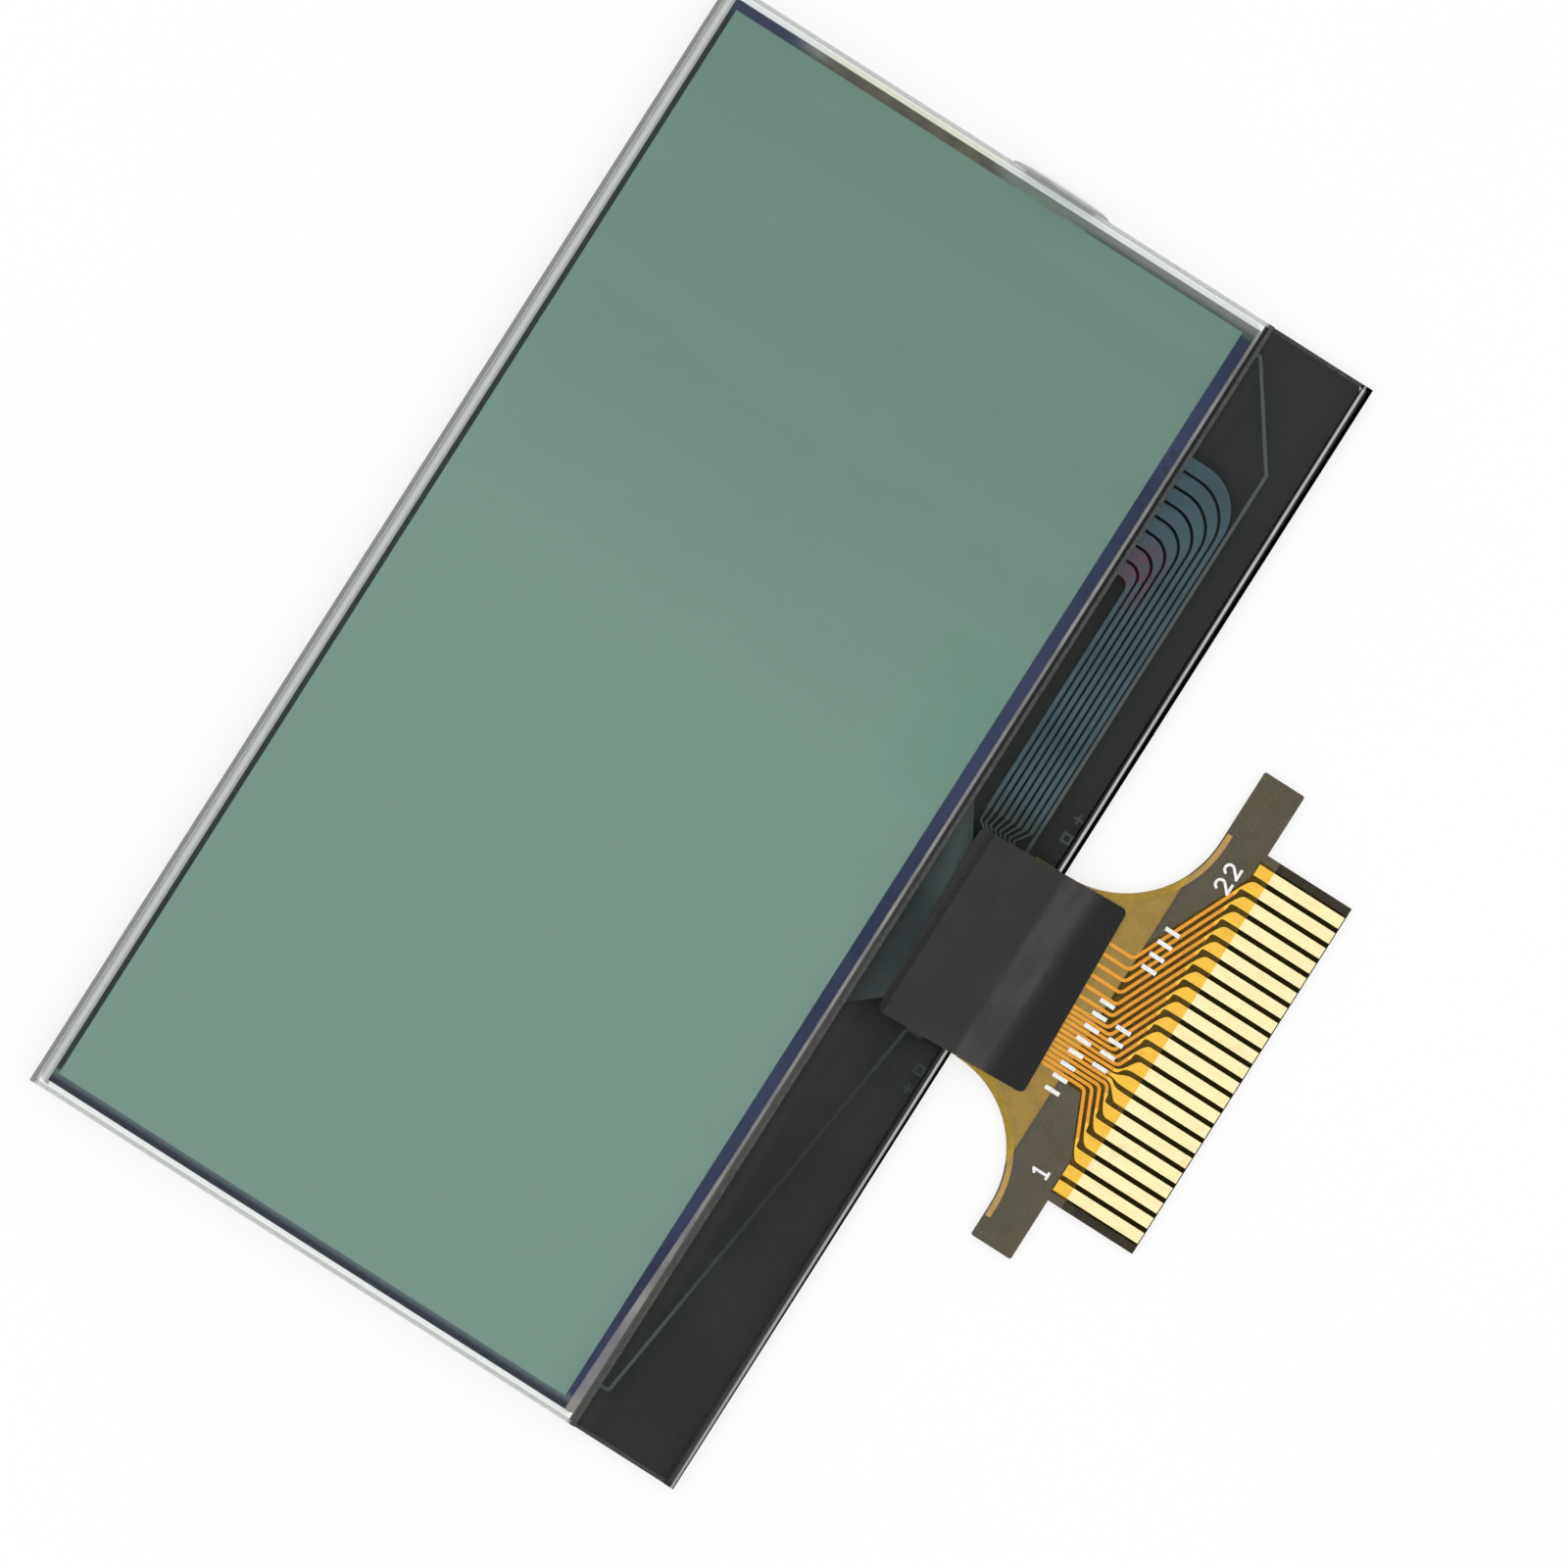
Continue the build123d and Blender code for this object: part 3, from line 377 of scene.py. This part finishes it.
def indium_tin_oxide():
    """Sputtered clear conductor. Interference in the thin coat makes it blue-grey, with a faint
    red
    fringe where the wide bands turn. How bright it shows along the ledge is painted reflection:
    brightest where the wide bands turn, and nearly lost in the dark of the ledge elsewhere, most
    of all in the middle of the fan under the chip."""
    p = blank("indium_tin_oxide")
    drift = grain(p, 2.0, detail=3.0, length=(1.0, 2.5, 1.0))
    lines = add(p, "Mix", [drift, "#3E5057", "#475D64"], data_type="RGBA")
    bands = add(p, "Mix", [drift, "#3E5057", "#465A61"], data_type="RGBA")
    at_bands = strip(p, p.x, BANDS_X, FAR, soft=4.0)
    tone = add(p, "Mix", [at_bands, lines, bands], data_type="RGBA")
    fringe = area(p, FRINGE_X, FRINGE_Y, soft=0.6)
    fringe = add(p, "Math", [fringe, grain(p, 0.7)], operation="MULTIPLY")
    fringe = add(p, "Math", [fringe, 0.65], operation="MULTIPLY")
    tone = add(p, "Mix", [fringe, tone, "#6A3A4A"], data_type="RGBA")

    last_guard = strip(p, p.x, LAST_GUARD_X, FAR, soft=0.2)
    beside_bands = area(p, (SINGLE_LINE_X, FAR), SINGLE_LINE_Y, soft=0.03)
    single = add(p, "Math", [last_guard, beside_bands], operation="MAXIMUM")
    tone = add(p, "Mix", [single, tone, "#515657"], data_type="RGBA")
    marks = area(p, MARKS_X, MARKS_Y, soft=0.03)
    tone = add(p, "Mix", [marks, tone, "#41423D"], data_type="RGBA")

    # Painted reflection: the fan under the chip is dimmer, and darkest in its middle, where the
    # coat catches no reflection
    fan = add(p, "Mix", [drift, "#353E3F", "#414A4A"], data_type="RGBA")
    at_fan = strip(p, p.x, -FAR, FAN_END_X, soft=0.6)
    tone = add(p, "Mix", [at_fan, tone, fan], data_type="RGBA")
    fan_middle_without_reflection = strip(p, p.x, *FAN_UNREFLECTED_X, soft=4.0)
    tone = add(p, "Mix", [fan_middle_without_reflection, tone, "#303231"], data_type="RGBA")
    first_guard = strip(p, p.x, -FAR, FIRST_GUARD_X, soft=1.5)
    tone = add(p, "Mix", [first_guard, tone, "#4A5152"], data_type="RGBA")
    in_seal = strip(p, p.y, FRONT_GLASS_Y + 0.3, FAR, soft=0.05)
    tone = add(p, "Mix", [in_seal, tone, cell_edge_tone(p)], data_type="RGBA")
    return finish(p, add(p, "BsdfPrincipled", {"Base Color": tone, "Roughness": 0.3,
                                               "Specular IOR Level": 0.1}))


def silver_filled_epoxy():
    """Silver-filled epoxy: metal flakes 0.05 mm wide in a binder. The dots lie inside the seal,
    whose navy dims them."""
    p = blank("silver_filled_epoxy")
    tone = add(p, "Mix", [grain(p, 0.05), "#33365A", "#4B4F66"], data_type="RGBA")
    return finish(p, add(p, "BsdfPrincipled", {"Base Color": tone, "Roughness": 0.6,
                                               "Specular IOR Level": 0.1}))


def aluminised_reflector():
    """Aluminised film on the back: a brushed sheen in lines 0.17 mm wide that run one way."""
    p = blank("aluminised_reflector")
    lines = grain(p, 0.17, detail=3.0, length=(1.0, 33.0, 1.0))
    tone = add(p, "Mix", [lines, "#A3A6A4", "#B6B9B7"], data_type="RGBA")
    roughness = add(p, "MapRange", {"Value": lines, "To Min": 0.32, "To Max": 0.45})
    relief = add(p, "Bump", {"Height": lines, "Distance": 0.002 * MM})
    return finish(p, add(p, "BsdfPrincipled", {"Base Color": tone, "Roughness": roughness,
                                               "Metallic": 0.55, "Normal": relief}))


def matt_polyester_tape():
    """Matt black polyester tape over the chip: grain 0.09 mm wide and mottling 2 mm wide. A
    painted highlight makes it paler and streaked on the slope of the bend, and it is painted
    darkest on the tail below, without the sheen that it shows on the ledge."""
    p = blank("matt_polyester_tape")
    tone = add(p, "Mix", [grain(p, 2.0), "#303130", "#373836"], data_type="RGBA")
    # Painted highlight: the slope of the bend, which faces the light, is paler and streaked
    streaks = grain(p, 0.85, length=(3.3, 1.0, 1.0))
    bend_highlight = add(p, "Mix", [streaks, "#3D3C3A", "#484745"], data_type="RGBA")
    bend = strip(p, p.y, *BEND_Y, soft=0.2)
    tone = add(p, "Mix", [bend, tone, bend_highlight], data_type="RGBA")
    # Painted reflection: darker on the tail, which lacks the sheen that the tape shows on the
    # ledge
    tail_without_sheen = strip(p, p.y, -FAR, BEND_END_Y, soft=0.3)
    tone = add(p, "Mix", [tail_without_sheen, tone, "#232423"], data_type="RGBA")
    weave = grain(p, 0.09, detail=3.0)
    weak_weave = add(p, "Math", [weave, 0.1], operation="MULTIPLY")
    tone = add(p, "Mix", [weak_weave, tone, "#50514E"], data_type="RGBA")
    relief = add(p, "Bump", {"Height": weave, "Distance": 0.004 * MM})
    return finish(p, add(p, "BsdfPrincipled", {"Base Color": tone, "Roughness": 0.75,
                                               "Normal": relief, "Specular IOR Level": 0.12}))


def matt_tape_behind_glass():
    """The same black tape wetted onto the back of the ledge: very even, with faint patches 0.3
    mm and 4 mm wide where the glue is thicker, and the red of the clear conductor's fringe at
    its bends."""
    p = blank("matt_tape_behind_glass")
    tone = add(p, "Mix", [grain(p, 4.0, detail=3.0), "#313331", "#353735"], data_type="RGBA")
    last_end = strip(p, p.x, 7.0, FAR, soft=5.0)
    tone = add(p, "Mix", [last_end, tone, "#363738"], data_type="RGBA")
    # Painted light: paler near the step, lifting the shade that the front glass casts on the
    # tape
    painted_light_near_step = strip(p, p.y, NEAR_STEP_Y, FAR, soft=0.3)
    tone = add(p, "Mix", [painted_light_near_step, tone, "#3C3E3C"], data_type="RGBA")
    fringe = area(p, (FRINGE_X[0] + 1.0, FRINGE_X[1]), FRINGE_Y, soft=0.35)
    tone = add(p, "Mix", [fringe, tone, "#4A2230"], data_type="RGBA")
    thick_glue = add(p, "Math", [grain(p, 0.33, detail=3.0), 0.08], operation="MULTIPLY")
    tone = add(p, "Mix", [thick_glue, tone, "#454845"], data_type="RGBA")
    return finish(p, add(p, "BsdfPrincipled", {"Base Color": tone, "Roughness": 0.8,
                                               "Specular IOR Level": 0.0}))


def clear_of_copper(p):
    """1 on the stiffened end of the tail outside the fan of copper tracks and the row of
    contacts."""
    corner_x, corner_y = FAN_RIGHT
    right = add(p, "Math", [p.x, -TRACK_RISE, corner_y + TRACK_RISE * corner_x],
                operation="MULTIPLY_ADD")
    corner_x, corner_y = FAN_LEFT
    left = add(p, "Math", [p.x, TRACK_RISE, corner_y - TRACK_RISE * corner_x],
               operation="MULTIPLY_ADD")
    upright = add(p, "Math", [p.x, FAR, corner_y - FAR * corner_x], operation="MULTIPLY_ADD")
    left = add(p, "Math", [left, upright], operation="MAXIMUM")
    fan_top = add(p, "Math", [right, left], operation="MINIMUM")
    fan_top = add(p, "Math", [fan_top, CONTACT_TOP_Y], operation="MAXIMUM")
    height = add(p, "Math", [p.y, fan_top], operation="SUBTRACT")
    over_fan = strip(p, height, 0.0, FAR, soft=0.04)
    off_centre = add(p, "Math", [p.x, TAIL_CENTRE_X], operation="SUBTRACT")
    off_centre = add(p, "Math", [off_centre], operation="ABSOLUTE")
    beside_row = strip(p, off_centre, CONTACT_SIDE_X, FAR, soft=0.04)
    plain = add(p, "Math", [over_fan, beside_row], operation="MAXIMUM")
    stiffened = strip(p, p.y, -FAR, STIFFENER_Y, soft=0.03)
    return add(p, "Math", [plain, stiffened], operation="MULTIPLY")


def polyimide_cover_film():
    """Polyimide cover: clear orange-amber, with a mottled glue 0.7 mm wide below it and ripples
    0.4 mm wide where it dips between the copper tracks. Over the dark laminate its haze greys
    it."""
    p = blank("polyimide_cover_film")
    mottle = grain(p, 0.7, detail=3.0)
    plain = clear_of_copper(p)
    tone = add(p, "Mix", [mottle, "#80683A", "#97804C"], data_type="RGBA")
    tone = add(p, "Mix", [plain, tone, "#7D837F"], data_type="RGBA")
    haze = add(p, "BsdfPrincipled", {"Base Color": tone, "Roughness": 0.5,
                                     "Specular IOR Level": 0.2})
    over_copper = add(p, "MapRange", {"Value": mottle, "To Min": 0.03, "To Max": 0.07})
    over_laminate = add(p, "MapRange", {"Value": mottle, "To Min": 0.27, "To Max": 0.33})
    share = add(p, "Mix", [plain, over_copper, over_laminate])
    return finish(p, see_through(p, tint="#FFEAA8", haze=haze, haze_share=share, gloss=0.3,
                                 roughness=0.25, relief_size=0.4, relief_depth=0.004))


def polyimide_base_film():
    """Polyimide base: hazy brown-amber where nothing lies behind it, mottled 0.5 mm wide, and
    clear on the stiffener. Between the bare contacts it is dark from glue and painted shade, and
    a painted shadow draws a dark line where the stiffener ends."""
    p = blank("polyimide_base_film")
    mottle = grain(p, 0.55, detail=3.0)
    bare = strip(p, p.y, -FAR, COVER_END_Y - 0.02, soft=0.02)
    off_centre = add(p, "Math", [p.x, TAIL_CENTRE_X], operation="SUBTRACT")
    row = strip(p, off_centre, -CONTACT_SIDE_X, CONTACT_SIDE_X, soft=0.05)
    # Between the bare contacts: dark glue, and painted shade in the narrow gaps
    between = add(p, "Math", [bare, row], operation="MULTIPLY")
    free = strip(p, p.y, STIFFENER_Y, FAR, soft=0.03)
    # Painted shadow: a dark line where the stiffener's edge ends under the film
    line = strip(p, p.y, STIFFENER_Y - 0.06, STIFFENER_Y + 0.06, soft=0.05)

    margin = add(p, "Mix", [mottle, "#3A352C", "#484237"], data_type="RGBA")
    amber = add(p, "Mix", [mottle, "#7F6E22", "#92812D"], data_type="RGBA")
    tone = add(p, "Mix", [free, margin, amber], data_type="RGBA")
    tone = add(p, "Mix", [between, tone, "#211A08"], data_type="RGBA")
    tone = add(p, "Mix", [line, tone, "#3A2C18"], data_type="RGBA")
    solid = add(p, "BsdfPrincipled", {"Base Color": tone, "Roughness": 0.5,
                                      "Specular IOR Level": 0.0})

    share = add(p, "Math", [bare, 0.6], operation="MULTIPLY")
    for place, cover in ((between, 0.98), (free, 0.72), (line, 0.7)):
        weaker = add(p, "Math", [place, cover], operation="MULTIPLY")
        share = add(p, "Math", [share, weaker], operation="MAXIMUM")
    return finish(p, see_through(p, tint="#E6E4DB", haze=solid, haze_share=share, gloss=0.12,
                                 roughness=0.3, relief_size=0.5, relief_depth=0.002))


def etched_copper_foil():
    """Etched copper foil: warm metal with pits 0.08 mm wide."""
    p = blank("etched_copper_foil")
    pits = grain(p, 0.08, detail=4.0, roughness=0.65)
    tone = add(p, "Mix", [pits, "#E0B48A", "#F2CCA2"], data_type="RGBA")
    roughness = add(p, "MapRange", {"Value": pits, "To Min": 0.3, "To Max": 0.5})
    relief = add(p, "Bump", {"Height": pits, "Distance": 0.002 * MM})
    return finish(p, add(p, "BsdfPrincipled", {"Base Color": tone, "Roughness": roughness,
                                               "Metallic": 0.85, "Normal": relief}))


def aged_copper_foil():
    """Copper foil that has yellowed in the open air at the tail's rim: streaks 0.1 mm wide
    along it, olive where only the film lies behind it and nearly black where it is bonded onto
    the ledge."""
    p = blank("aged_copper_foil")
    streaks = grain(p, 0.1, detail=3.0, length=(1.0, 4.0, 1.0))
    tone = add(p, "Mix", [streaks, "#DCCBA6", "#EADBBA"], data_type="RGBA")
    olive = add(p, "Mix", [streaks, "#97967F", "#ABAA93"], data_type="RGBA")
    free = strip(p, p.y, STIFFENER_Y, FAR, soft=0.5)
    tone = add(p, "Mix", [free, tone, olive], data_type="RGBA")
    bonded = strip(p, p.y, LEDGE_EDGE_Y - 0.3, FAR, soft=0.1)
    tone = add(p, "Mix", [bonded, tone, "#3A352E"], data_type="RGBA")
    relief = add(p, "Bump", {"Height": streaks, "Distance": 0.002 * MM})
    return finish(p, add(p, "BsdfPrincipled", {"Base Color": tone, "Roughness": 0.5,
                                               "Metallic": 0.5, "Normal": relief}))


def hard_gold_plate():
    """Hard gold plate on copper: pale and bright, with rolling lines 0.07 mm wide along each
    contact and rare rubbed spots 0.8 mm wide."""
    p = blank("hard_gold_plate")
    lines = grain(p, 0.07, length=(1.0, 20.0, 1.0))
    tone = add(p, "Mix", [lines, "#F9E8B0", "#FDF2BE"], data_type="RGBA")
    spots = add(p, "MapRange", {"Value": grain(p, 0.8, detail=4.0), "From Min": 0.75,
                                "From Max": 0.98, "To Max": 0.35})
    tone = add(p, "Mix", [spots, tone, "#EED49A"], data_type="RGBA")
    roughness = add(p, "MapRange", {"Value": lines, "To Min": 0.3, "To Max": 0.42})
    relief = add(p, "Bump", {"Height": lines, "Distance": 0.002 * MM})
    return finish(p, add(p, "BsdfPrincipled", {"Base Color": tone, "Roughness": roughness,
                                               "Metallic": 0.8, "Normal": relief}))


def glass_epoxy_laminate():
    """Dark glass-epoxy laminate under the contacts: a crossed weave of threads 0.2 mm wide."""
    p = blank("glass_epoxy_laminate")
    warp = grain(p, 0.2, detail=1.0, length=(1.0, 10.0, 1.0))
    weft = grain(p, 0.2, detail=1.0, length=(10.0, 1.0, 1.0))
    weave = add(p, "Math", [warp, weft], operation="MULTIPLY")
    tone = add(p, "Mix", [weave, "#4B4740", "#57524A"], data_type="RGBA")
    relief = add(p, "Bump", {"Height": weave, "Distance": 0.004 * MM})
    return finish(p, add(p, "BsdfPrincipled", {"Base Color": tone, "Roughness": 0.65,
                                               "Normal": relief, "Specular IOR Level": 0.3}))


def acrylic_glue_film():
    """Heat-set acrylic glue film: dull grey-brown, with patches 1.4 mm wide and bubbles 0.14 mm
    wide."""
    p = blank("acrylic_glue_film")
    tone = add(p, "Mix", [grain(p, 1.4, detail=3.0), "#5E5A54", "#6B665F"], data_type="RGBA")
    bubbles = add(p, "MapRange", {"Value": grain(p, 0.14), "From Min": 0.7, "From Max": 0.95})
    tone = add(p, "Mix", [bubbles, tone, "#7A756B"], data_type="RGBA")
    return finish(p, add(p, "BsdfPrincipled", {"Base Color": tone, "Roughness": 0.55,
                                               "Specular IOR Level": 0.1}))


def ground_silicon():
    """Back-ground silicon: dark grey, with parallel grinding lines 0.05 mm wide and a cool
    gloss."""
    p = blank("ground_silicon")
    lines = grain(p, 0.05, length=(20.0, 1.0, 1.0))
    tone = add(p, "Mix", [lines, "#3B3D42", "#50535A"], data_type="RGBA")
    roughness = add(p, "MapRange", {"Value": lines, "To Min": 0.2, "To Max": 0.35})
    return finish(p, add(p, "BsdfPrincipled", {"Base Color": tone, "Roughness": roughness,
                                               "Metallic": 0.3}))


def white_screen_ink():
    """Screen-printed white ink: matt, with pores 0.06 mm wide where less ink came through the
    mesh."""
    p = blank("white_screen_ink")
    pores = add(p, "MapRange", {"Value": grain(p, 0.06, detail=3.0), "From Min": 0.75,
                                "From Max": 0.98})
    tone = add(p, "Mix", [pores, "#F4F4F2", "#CFCDC2"], data_type="RGBA")
    return finish(p, add(p, "BsdfPrincipled", {"Base Color": tone, "Roughness": 0.6,
                                               "Specular IOR Level": 0.2}))


def seen_directly(p):
    """1 for rays from the eye, in a reflection or through glass, and 0 for the light on the
    object."""
    seen, mirrored, through = [add(p, "LightPath", output=f"Is {kind} Ray")
                               for kind in ("Camera", "Glossy", "Transmission")]
    seen = add(p, "Math", [seen, mirrored], operation="MAXIMUM")
    return add(p, "Math", [seen, through], operation="MAXIMUM")


def white_table_top():
    """Matt white laminate, very slightly uneven over 50 mm. Where it is looked at directly it
    is lifted towards white, so that only a weak shadow of the display is left on it."""
    p = blank("white_table_top")
    tone = add(p, "Mix", [grain(p, 50.0), "#FBFBFB", "#FDFDFD"], data_type="RGBA")
    lit = add(p, "BsdfPrincipled", {"Base Color": tone, "Roughness": 0.9,
                                    "Specular IOR Level": 0.0})
    white = add(p, "Emission", {"Color": WHITE, "Strength": 1.0})
    lift = add(p, "Math", [seen_directly(p), 0.75], operation="MULTIPLY")
    return finish(p, add(p, "MixShader", [lift, lit, white]))


FINISHES = {
    twisted_nematic_fluid: ["liquid_crystal"],
    satin_polariser_film: ["front_polariser"],
    ground_float_glass: ["front_glass", "rear_glass"],
    cell_seal_epoxy: ["perimeter_seal"],
    cured_acrylic_bead: ["end_seal_plug"],
    indium_tin_oxide: ["common_tracks", "guard_tracks", "segment_tracks", "input_tracks",
                       "alignment_marks"],
    silver_filled_epoxy: ["transfer_dots"],
    aluminised_reflector: ["rear_polariser"],
    matt_polyester_tape: ["shield_tape"],
    matt_tape_behind_glass: ["backing_tape"],
    polyimide_cover_film: ["tail_cover_film"],
    polyimide_base_film: ["tail_base_film"],
    etched_copper_foil: ["tail_tracks"],
    aged_copper_foil: ["tear_guards"],
    hard_gold_plate: ["contact_fingers", "chip_bumps"],
    glass_epoxy_laminate: ["tail_stiffener"],
    acrylic_glue_film: ["stiffener_glue", "tail_bond_film", "chip_bond_film"],
    ground_silicon: ["driver_chip"],
    white_screen_ink: ["pin_print"],
}


def put_on_finishes():
    for make, names in FINISHES.items():
        material = make()
        for name in names:
            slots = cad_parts[name].data.materials
            slots.clear()
            slots.append(material)


def add_table():
    """A plain table top 3 m wide, 0.02 mm below the display."""
    half = 1.5
    corners = [(-half, -half, 0), (half, -half, 0), (half, half, 0), (-half, half, 0)]
    mesh = bpy.data.meshes.new("table_top")
    mesh.from_pydata(corners, [], [(0, 1, 2, 3)])
    mesh.materials.append(white_table_top())
    table = bpy.data.objects.new("table_top", mesh)
    table.location.z = -0.02 * MM
    bpy.context.scene.collection.objects.link(table)


def light_studio():
    """An even white surround, and one wide soft lamp from the contact side that models the
    bend."""
    world = bpy.data.worlds.new("studio_surround")
    world.use_nodes = True
    world.node_tree.nodes.clear()
    bpy.context.scene.world = world
    p = SimpleNamespace(tree=world.node_tree)
    strength = add(p, "MapRange", {"Value": seen_directly(p), "To Min": 0.93, "To Max": 1.0})
    add(p, "OutputWorld", [add(p, "Background", [WHITE, strength])])
    lamp = bpy.data.lights.new("soft_lamp", "SUN")
    lamp.energy = 0.3
    lamp.angle = math.radians(70)
    holder = bpy.data.objects.new("soft_lamp", lamp)
    holder.rotation_euler = (math.radians(40), math.radians(12), 0)
    bpy.context.scene.collection.objects.link(holder)


def place_camera():
    """Straight above the display with a long lens, turned so that the tail points to the lower
    right."""
    distance = 1.0
    view_width = 70.516 * MM
    middle_x, middle_y, middle_z = 0.14 * MM, -4.31 * MM, 0.9 * MM
    camera = bpy.data.cameras.new("camera")
    camera.sensor_width = 36.0
    camera.lens = camera.sensor_width * distance / view_width
    camera.clip_start = 0.05
    camera.clip_end = 10.0
    holder = bpy.data.objects.new("camera", camera)
    holder.location = (middle_x, middle_y, distance + middle_z)
    holder.rotation_euler = (0.0, 0.0, math.radians(-57.5))
    bpy.context.scene.collection.objects.link(holder)
    bpy.context.scene.camera = holder


put_on_finishes()
add_table()
light_studio()
place_camera()

bpy.context.scene.view_settings.view_transform = "Standard"
